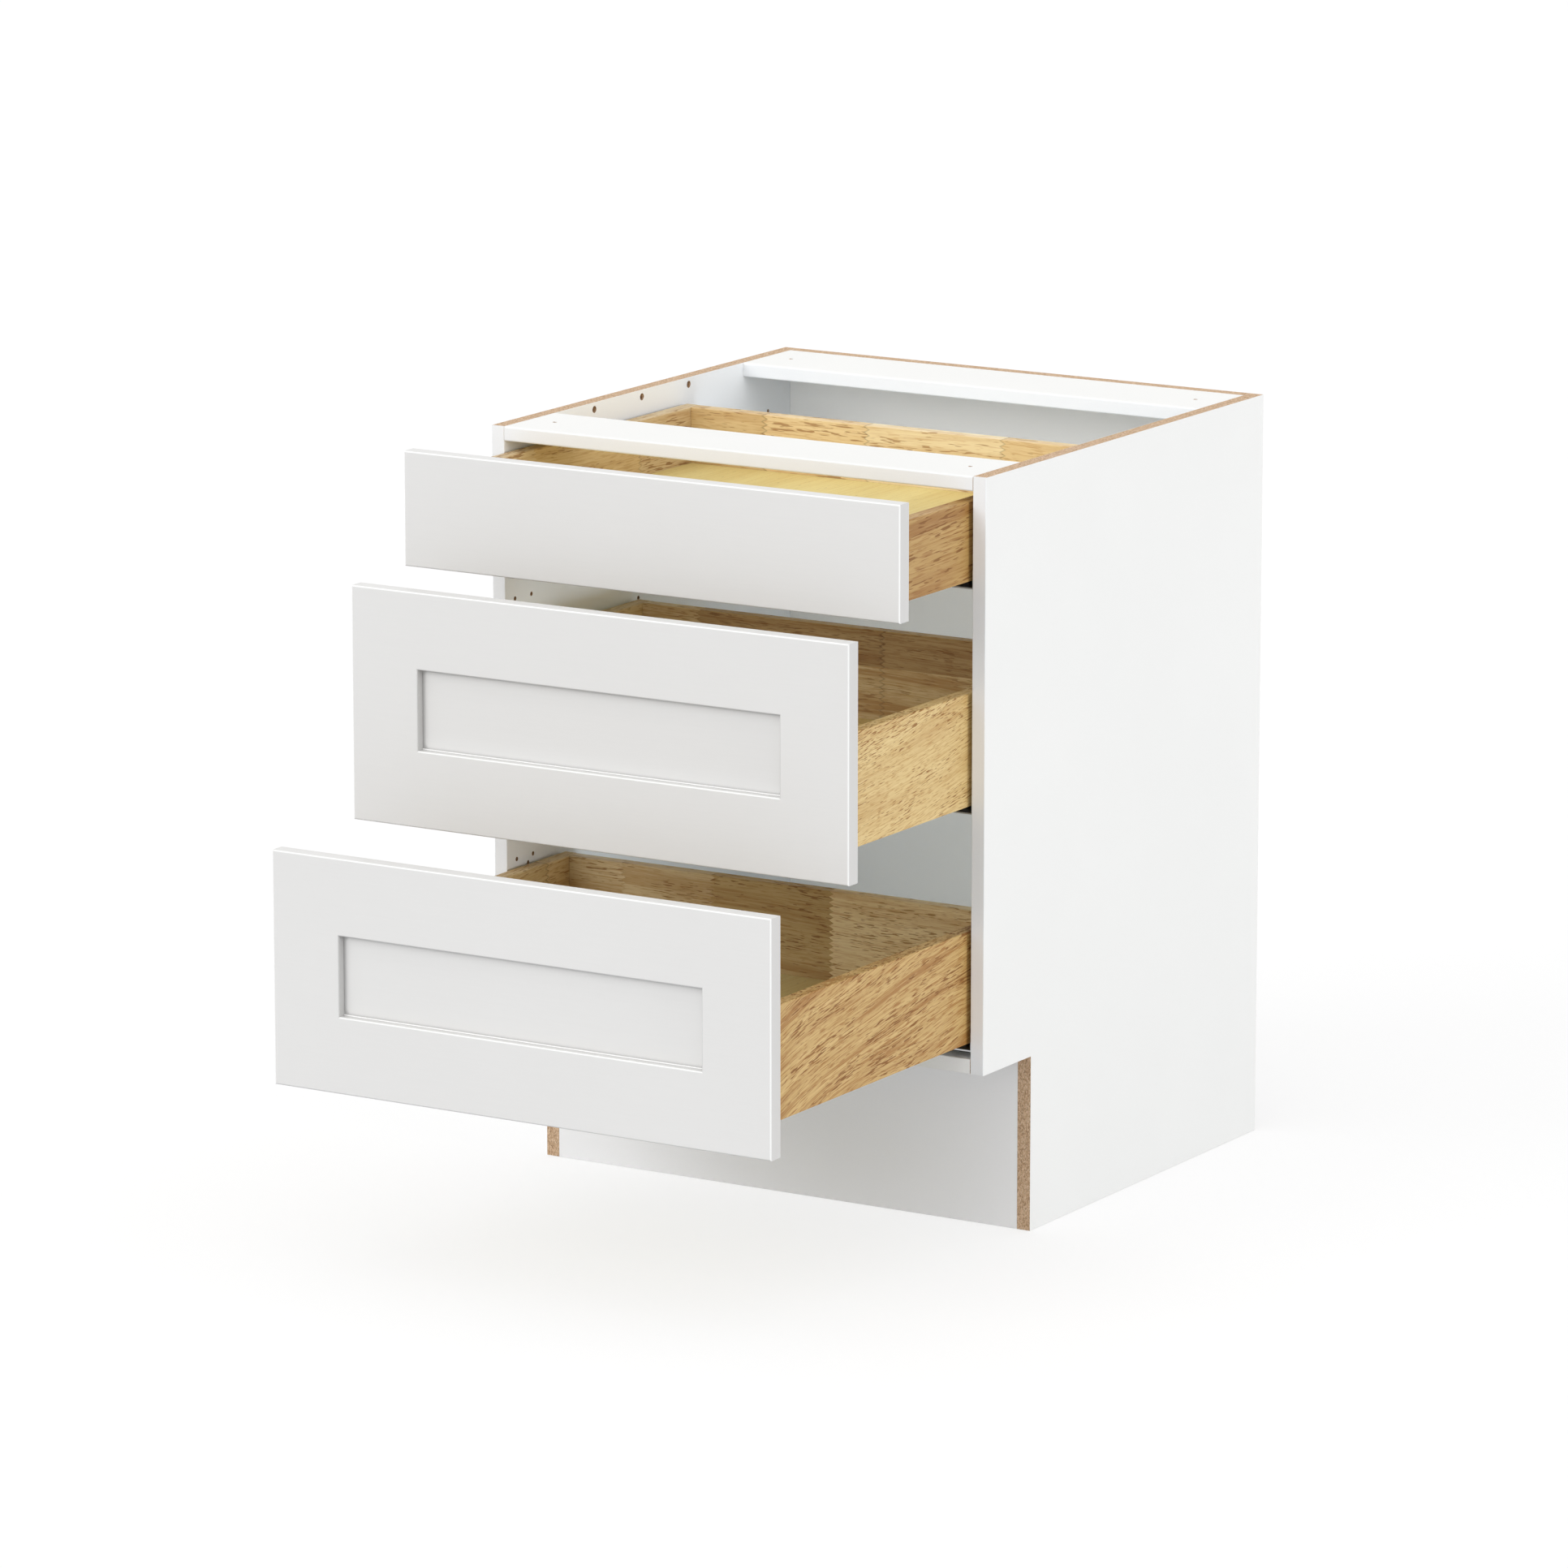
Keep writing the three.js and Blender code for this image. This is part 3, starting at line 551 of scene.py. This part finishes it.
def screw_material():
    s = Shader("screw_steel")
    worn = s.even_noise(700.0, detail=3.0)
    colour = s.mix(s.ramp(worn, 0.35, 0.7), CLEAN_STEEL, WORN_STEEL)
    roughness = s.ramp(worn, 0.3, 0.7, 0.22, 0.38)
    return s.finish(colour, roughness, s.bump(worn, 0.08, 0.0001), Metallic=1.0)


def plastic_material(name, tone, roughness):
    s = Shader(name)
    pebble = s.even_noise(1400.0)
    flow = s.even_noise(60.0)
    colour = s.tinted(tone, s.ramp(flow, 0.3, 0.7, 0.93, 1.05))
    roughness = s.ramp(pebble, 0.3, 0.7, roughness - 0.05, roughness + 0.07)
    return s.finish(colour, roughness, s.bump(pebble, 0.12, 0.0002))


def bumper_material():
    s = Shader("bumper_silicone")
    haze = s.even_noise(900.0)
    colour = s.mix(s.ramp(haze, 0.3, 0.7), CLEAR_SILICONE, HAZY_SILICONE)
    roughness = s.ramp(haze, 0.3, 0.7, 0.25, 0.4)
    normal = s.bump(haze, 0.05, 0.0001)
    return s.finish(colour, roughness, normal, **{"Subsurface Weight": 0.3})


# Looks of the CAD pieces.
def dress(name, material):
    mesh = nodes[name].data
    mesh.materials.clear()
    mesh.materials.append(material)


def dress_carcass():
    side_board = board_material("side_board", X, side_bare, inside=side_inside)
    for side in SIDES:
        dress(f"{side}_side_panel", side_board)
    dress("back_panel", board_material("back_board", Y, back_bare))
    dress("bottom_panel", board_material("bottom_board", Z, floor_bare))
    dress("toe_kick_board", board_material("toe_board", Y, toe_bare, TOE_WHITE))
    stretcher = board_material("stretcher_board", Z, stretcher_bare, inside=stretcher_inside)
    for name in STRETCHERS:
        dress(name, stretcher)


EASED_EDGE = 0.8
EASED_SEGMENTS = 2
EASED_FROM_DEGREES = 60


def dress_fronts(lacquer):
    for name in FRAMED:
        dress(f"{name}_front_centre_panel", lacquer)
    for name in FRONT_BOARDS.values():
        dress(name, lacquer)
        eased = nodes[name].modifiers.new("eased_edges", "BEVEL")
        eased.width = EASED_EDGE * MM
        eased.segments = EASED_SEGMENTS
        eased.limit_method = "ANGLE"
        eased.angle_limit = math.radians(EASED_FROM_DEGREES)


# Tones of the staves.
STRAW = (0.71, 0.53, 0.27)
CREAM = (0.80, 0.61, 0.33)
PALE = (0.88, 0.73, 0.45)
BUTTER = (0.72, 0.53, 0.235)
PRIMROSE = (0.79, 0.60, 0.28)
WHEAT = (0.69, 0.55, 0.32)
HONEY = (0.63, 0.46, 0.23)
TAN = (0.63, 0.48, 0.27)
BROWN = (0.58, 0.43, 0.21)
UMBER = (0.41, 0.27, 0.125)
AMBER = (0.57, 0.37, 0.135)
OCHRE = (0.49, 0.30, 0.10)

WOODS = {
    "top_box_right_side": dict(
        first=OCHRE, joints=[(40, TAN), (180, HONEY)],
        rise=0.05, bands=0.8, fibres=0.6, dashes=0.7, flecks=0.8, fleck_size=1.6),
    "top_box_left_side": dict(
        first=TAN, joints=[(-60, HONEY), (150, TAN)],
        rise=-0.02, flecks=0.8, fleck_size=1.3),
    "top_box_back": dict(
        first=STRAW, joints=[(-170, CREAM), (-40, PALE), (130, CREAM)],
        bands=0.3, fibres=0.3, flecks=0.75, fleck_size=1.3),
    "top_box_front": dict(
        first=STRAW, joints=[(-60, CREAM), (120, TAN)],
        bands=0.3, flecks=0.6),
    "middle_box_right_side": dict(
        first=BUTTER, joints=[(-20, PRIMROSE), (120, BUTTER)],
        rise=0.14, bands=0.4, fibres=0.45, dashes=0.7, flecks=0.95, fleck_size=0.9),
    "middle_box_left_side": dict(
        first=TAN, joints=[(-120, HONEY), (60, TAN)],
        flecks=0.6),
    "middle_box_back": dict(
        first=TAN, joints=[(-194, UMBER), (40, UMBER)],
        glue_line=556, lower_first=HONEY, lower_joints=[(-60, TAN), (150, TAN)],
        rise=-0.02, bands=0.8, fibres=0.7, flecks=0.6),
    "middle_box_front": dict(
        first=HONEY, joints=[(-90, TAN), (90, HONEY)],
        flecks=0.6),
    "bottom_box_right_side": dict(
        first=AMBER, joints=[(-40, HONEY)],
        rise=0.34, fall=0.70, bands=1.0, fibres=1.0, dashes=1.0, flecks=0.95, fleck_size=1.15,
        swing=1.8, band_width=0.6),
    "bottom_box_left_side": dict(
        first=HONEY, joints=[(-210, BROWN), (-40, HONEY)],
        rise=0.04, flecks=0.6),
    "bottom_box_back": dict(
        first=WHEAT, joints=[(-196, WHEAT), (-83, BROWN), (66, PALE)],
        rise=-0.03, bands=0.45, fibres=0.6, flecks=0.8),
    "bottom_box_front": dict(
        first=TAN, joints=[(-100, HONEY), (80, STRAW)],
        flecks=0.6),
}
VENEERS = {
    "top": (0.84, 0.72, 0.32),
    "middle": (0.74, 0.60, 0.34),
    "bottom": (0.84, 0.75, 0.42),
}


def dress_boxes():
    for name, look in WOODS.items():
        low, high = corners(name)
        axis = X if high.x - low.x > high.y - low.y else Y
        start, end = low[axis] - END_MARGIN, high[axis] + END_MARGIN
        dress(name, wood_material(name, axis, start, end, **look))
    for name, tone in VENEERS.items():
        dress(f"{name}_box_bottom", veneer_material(f"{name}_bottom_veneer", tone))


def dress_runners():
    steel = steel_material()
    clip_grey = plastic_material("clip_grey", CLIP_GREY, 0.45)
    lever_orange = plastic_material("lever_orange", LEVER_ORANGE, 0.42)
    for drawer in FRONT_BOARDS:
        for side in SIDES:
            for rail in ("cabinet_rail", "middle_rail", "drawer_rail"):
                dress(f"{drawer}_{side}_{rail}", steel)
            dress(f"{drawer}_{side}_locking_clip", clip_grey)
            dress(f"{drawer}_{side}_release_lever", lever_orange)


# Small pieces that the CAD part leaves out. Places on the left mirror those on the right.
def object_from(name, mesh, material, body, smooth=False):
    bmesh.ops.recalc_face_normals(mesh, faces=mesh.faces)
    data = bpy.data.meshes.new(name)
    mesh.to_mesh(data)
    mesh.free()
    for face in data.polygons:
        face.use_smooth = smooth
    data.materials.append(material)
    made = bpy.data.objects.new(name, data)
    bpy.context.scene.collection.objects.link(made)
    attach(made, body)


def pointing(position, axis):
    """Matrix, in metres, that puts local Z along axis at position in millimetres."""
    turn = Vector(axis).to_track_quat("Z", "Y").to_matrix().to_4x4()
    return Matrix.Translation(Vector(position) * MM) @ turn @ Matrix.Scale(MM, 4)


def ring(mesh, place, radius, height, sides):
    """Points round local Z, or the one point on it where the radius is 0."""
    if radius == 0:
        return [mesh.verts.new(place @ Vector((0, 0, height)))]
    made = []
    for i in range(sides):
        angle = 2 * math.pi * i / sides
        point = Vector((radius * math.cos(angle), radius * math.sin(angle), height))
        made.append(mesh.verts.new(place @ point))
    return made


def lathe(mesh, profile, sides, place):
    """Skin over rings at the profile's (radius, height) points. Returns the rings."""
    rings = [ring(mesh, place, radius, height, sides) for radius, height in profile]
    for first, second in zip(rings, rings[1:]):
        for i in range(sides):
            j = (i + 1) % sides
            points = [first[i % len(first)], first[j % len(first)],
                      second[j % len(second)], second[i % len(second)]]
            mesh.faces.new(list(dict.fromkeys(points)))
    return rings


def edges_round(mesh, loop):
    return [mesh.edges.get([loop[i - 1], loop[i]]) for i in range(len(loop))]


SCREW_SIDES = 24
# Shares of the head's radius and height.
PAN_PROFILE = [(1.0, 0.0), (1.0, 0.45), (0.9, 0.8), (0.7, 1.0)]
CROSS_ARM = 0.62
CROSS_HALF_WIDTH = 0.13
CROSS_FLOOR = 0.3
CROSS_TAPER = 0.75


def screw_head(mesh, position, axis, radius, height):
    """Pan head with a cross recess pressed into its top."""
    place = pointing(position, axis)
    profile = [(radius * out, height * up) for out, up in PAN_PROFILE]
    rings = lathe(mesh, profile, SCREW_SIDES, place)
    mesh.faces.new(rings[0])
    arm, half = radius * CROSS_ARM, radius * CROSS_HALF_WIDTH
    cross = [(half, half), (half, arm), (-half, arm), (-half, half), (-arm, half), (-arm, -half),
             (-half, -half), (-half, -arm), (half, -arm), (half, -half), (arm, -half), (arm, half)]
    rim, floor = (
        [mesh.verts.new(place @ Vector((x * taper, y * taper, z))) for x, y in cross]
        for taper, z in ((1, height), (CROSS_TAPER, height * CROSS_FLOOR))
    )
    for i in range(len(cross)):
        mesh.faces.new([rim[i], rim[i - 1], floor[i - 1], floor[i]])
    mesh.faces.new(floor)
    edges = edges_round(mesh, rings[-1]) + edges_round(mesh, rim)
    bmesh.ops.triangle_fill(mesh, use_beauty=True, edges=edges)


def screws(name, places, axis, body, material, radius, height):
    mesh = bmesh.new()
    for position in places:
        screw_head(mesh, position, axis, radius, height)
    object_from(name, mesh, material, body)


FRONT_SCREW = {"radius": 4.6, "height": 2.3}
FRONT_SCREW_X = 150
FRONT_SCREW_ROWS = (0.45, 0.8)


def front_screws(name, material):
    """Four screws through the box front into the front board."""
    low, high = corners(f"{name}_box_front")
    rows = [low.z + row * (high.z - low.z) for row in FRONT_SCREW_ROWS]
    places = [(x, high.y, row) for x in (-FRONT_SCREW_X, FRONT_SCREW_X) for row in rows]
    screws(f"{name}_front_screws", places, (0, 1, 0), f"{name}_drawer", material, **FRONT_SCREW)


CLIP_SCREW = {"radius": 1.85, "height": 3.3}
CLIP_SCREW_INSET = 4
CLIP_SCREW_SPACING = 20


def clip_screws(name, side, material):
    """Two screws sunk in the clip's holes, so that the release lever passes over them."""
    low, high = corners(f"{name}_right_locking_clip")
    near, y = low.x + CLIP_SCREW_INSET, high.y - CLIP_SCREW_INSET
    seat = corners(f"{name}_box_bottom")[0].z
    places = [(SIDES[side] * x, y, seat) for x in (near + CLIP_SCREW_SPACING, near)]
    body = f"{name}_drawer"
    screws(f"{name}_{side}_clip_screws", places, (0, 0, -1), body, material, **CLIP_SCREW)


RAIL_SCREW = {"radius": 3.8, "height": 1.6}
RAIL_SCREW_PLACES = (34, 258, 418)
RAIL_SCREW_RISE = 10.3
RAIL_GAUGE = 1.5


def rail_screws(name, side, material):
    """Three screws through the cabinet rail's web into the side panel."""
    low, high = corners(f"{name}_right_cabinet_rail")
    sign = SIDES[side]
    web, z = sign * (high.x - RAIL_GAUGE), low.z + RAIL_SCREW_RISE
    places = [(web, low.y + place, z) for place in RAIL_SCREW_PLACES]
    name = f"{name}_{side}_rail_screws"
    screws(name, places, (-sign, 0, 0), "carcass", material, **RAIL_SCREW)


BUMPER_INSET = 6.4
BUMPER_DROP = 11
BUMPER_SIDES = 32
BUMPER_PROFILE = [
    (0, 0.02), (4.6, 0.02), (4.7, 0.3), (4.4, 0.75), (3.4, 1.05), (1.8, 1.2), (0, 1.25),
]


def bumper(name, side, material):
    """Clear dome near the upper corner behind a front."""
    high = corners(FRONT_BOARDS[name])[1]
    centre = (SIDES[side] * (high.x - BUMPER_INSET), high.y, high.z - BUMPER_DROP)
    mesh = bmesh.new()
    lathe(mesh, BUMPER_PROFILE, BUMPER_SIDES, pointing(centre, (0, 1, 0)))
    body = f"{name}_drawer"
    object_from(f"{name}_{side}_bumper", mesh, material, body, smooth=True)


BEAD = 1.5
BEAD_STEPS = 4
BEAD_GAP = 0.2


def front_bead(name, material):
    """Quarter round of lacquer on the frame's ledge, along the foot of the centre panel."""
    frame_low, frame_high = corners(FRONT_BOARDS[name])
    ledge_z = frame_low.z + FRAME_WIDTH
    panel_y = corners(f"{name}_front_centre_panel")[0].y - BEAD_GAP
    half = frame_high.x - FRAME_WIDTH - BEAD_GAP
    angles = [math.pi / 2 * step / BEAD_STEPS for step in range(BEAD_STEPS + 1)]
    section = [(0.0, 0.0)] + [(BEAD * math.sin(a), BEAD * math.cos(a)) for a in angles]
    mesh = bmesh.new()
    ends = [[mesh.verts.new(Vector((x, panel_y - out, ledge_z + up)) * MM) for out, up in section]
            for x in (-half, half)]
    for i in range(len(section)):
        mesh.faces.new([ends[0][i - 1], ends[0][i], ends[1][i], ends[1][i - 1]])
    for end in ends:
        mesh.faces.new(end)
    object_from(f"{name}_front_bead", mesh, material, f"{name}_drawer")


def small_pieces(lacquer):
    steel, silicone = screw_material(), bumper_material()
    for name in FRONT_BOARDS:
        front_screws(name, steel)
        for side in SIDES:
            clip_screws(name, side, steel)
            rail_screws(name, side, steel)
            bumper(name, side, silicone)
    for name in FRAMED:
        front_bead(name, lacquer)


# Floor, light and camera.
FLOOR_RADIUS = 60.0
FLOOR_SIDES = 96
FLOOR_DROP = 0.0005
FLOOR_TONE = (0.60, 0.612, 0.635, 1.0)
FLOOR_SEEN_TONE = (0.28, 0.28, 0.28, 1.0)
FLOOR_GLOW = 0.72
WHITE = (1.0, 1.0, 1.0, 1.0)


def stage_floor():
    """Pale floor that looks white and still takes the object's shadow."""
    s = Shader("stage_white")
    plain = s.node("BsdfDiffuse", {"Color": FLOOR_TONE}).outputs[0]
    pale = s.node("BsdfDiffuse", {"Color": FLOOR_SEEN_TONE}).outputs[0]
    glow = s.node("Emission", {"Color": WHITE, "Strength": FLOOR_GLOW}).outputs[0]
    shown = s.node("AddShader", {0: pale, 1: glow}).outputs[0]
    material = s.output(s.node("MixShader", {0: s.seen(), 1: plain, 2: shown}).outputs[0])
    mesh = bmesh.new()
    bmesh.ops.create_circle(mesh, cap_ends=True, segments=FLOOR_SIDES, radius=FLOOR_RADIUS)
    data = bpy.data.meshes.new("stage_floor")
    mesh.to_mesh(data)
    mesh.free()
    data.materials.append(material)
    floor = bpy.data.objects.new("stage_floor", data)
    floor.location.z = -FLOOR_DROP
    bpy.context.scene.collection.objects.link(floor)


def world_light(strength):
    """White light from all round; the rays that show the background see plain white."""
    world = bpy.data.worlds.new("studio")
    bpy.context.scene.world = world
    s = Nodes(world)
    levels = {"Value": s.seen(), "To Min": strength, "To Max": 1.0}
    level = s.node("MapRange", levels).outputs[0]
    background = s.node("Background", {"Color": WHITE, "Strength": level}).outputs[0]
    s.put(s.node("OutputWorld").inputs["Surface"], background)


def lamp_object(name, lamp, direction, axis):
    """A lamp turned so that its own axis points along direction."""
    made = bpy.data.objects.new(name, lamp)
    made.rotation_mode = "QUATERNION"
    made.rotation_quaternion = Vector(direction).to_track_quat(axis, "Y")
    bpy.context.scene.collection.objects.link(made)
    return made


def sun(name, azimuth, elevation, strength, spread):
    """Soft light from azimuth degrees round from the front, towards +X."""
    lamp = bpy.data.lights.new(name, "SUN")
    lamp.energy = strength
    lamp.angle = math.radians(spread)
    a, e = math.radians(azimuth), math.radians(elevation)
    source = (math.sin(a) * math.cos(e), -math.cos(a) * math.cos(e), math.sin(e))
    lamp_object(name, lamp, source, "Z")


PANEL_LAMP_COLOUR = (0.80, 0.90, 1.0)


def panel_lamp(name, centre, size, direction, level):
    """Flat lamp, at level 1 as bright as a world of strength 1."""
    lamp = bpy.data.lights.new(name, "AREA")
    lamp.shape = "RECTANGLE"
    lamp.size, lamp.size_y = (side * MM for side in size)
    lamp.energy = level * math.pi * lamp.size * lamp.size_y
    lamp.color = PANEL_LAMP_COLOUR
    made = lamp_object(name, lamp, direction, "-Z")
    made.location = Vector(centre) * MM
    return made


def carcass_collection():
    made = bpy.data.collections.new("carcass_parts")
    for name in frame["record"]["behaviour"]["bodies"]["carcass"]:
        made.objects.link(nodes[name])
    return made


WORLD_STRENGTH = 0.80
# azimuth, elevation, strength, spread
SUNS = {
    "key": (-30, 28, 0.85, 34),
    "front_fill": (10, 8, 0.45, 40),
    "right_fill": (86, 5, 0.86, 14),
    "top_fill": (0, 80, 0.3, 60),
}
UP, REARWARD = (0, 0, 1), (0, 1, 0)
# centre, size, direction, level
PANEL_LAMPS = {
    "over_middle_drawer": ((0, 60, 610), (540, 280), UP, 0.56),
    "over_bottom_drawer": ((0, 40, 404), (560, 116), REARWARD, 2.1),
    "behind_top_drawer": ((0, 290, 760), (560, 80), REARWARD, 0.75),
    "in_middle_drawer": ((0, -85, 540), (530, 104), REARWARD, 0.5),
}
# A drawer that is shut stands round this lamp, so it lights the carcass alone.
CARCASS_LAMP = "behind_top_drawer"


def studio_light():
    world_light(WORLD_STRENGTH)
    for name, settings in SUNS.items():
        sun(name, *settings)
    lamps = {name: panel_lamp(name, *settings) for name, settings in PANEL_LAMPS.items()}
    lamps[CARCASS_LAMP].light_linking.receiver_collection = carcass_collection()


# Camera solved from the cabinet's corners in the photograph.
CAMERA_PLACE = (4.6809, -7.6368, 2.3943)
CAMERA_DIP = 12.2355
CAMERA_TURN = 31.4749
CAMERA_LENS = 197.49
SENSOR_WIDTH = 36.0
CLIP_START, CLIP_END = 0.1, 200.0


def photo_camera():
    data = bpy.data.cameras.new("photo_camera")
    data.sensor_width = SENSOR_WIDTH
    data.lens = CAMERA_LENS
    data.clip_start, data.clip_end = CLIP_START, CLIP_END
    camera = bpy.data.objects.new("photo_camera", data)
    camera.location = CAMERA_PLACE
    camera.rotation_euler = (math.radians(90 - CAMERA_DIP), 0.0, math.radians(CAMERA_TURN))
    bpy.context.scene.collection.objects.link(camera)
    bpy.context.scene.camera = camera


front_lacquer = lacquer_material()
dress_carcass()
dress_fronts(front_lacquer)
dress_boxes()
dress_runners()
small_pieces(front_lacquer)
stage_floor()
studio_light()
photo_camera()
bpy.context.scene.view_settings.view_transform = "Standard"
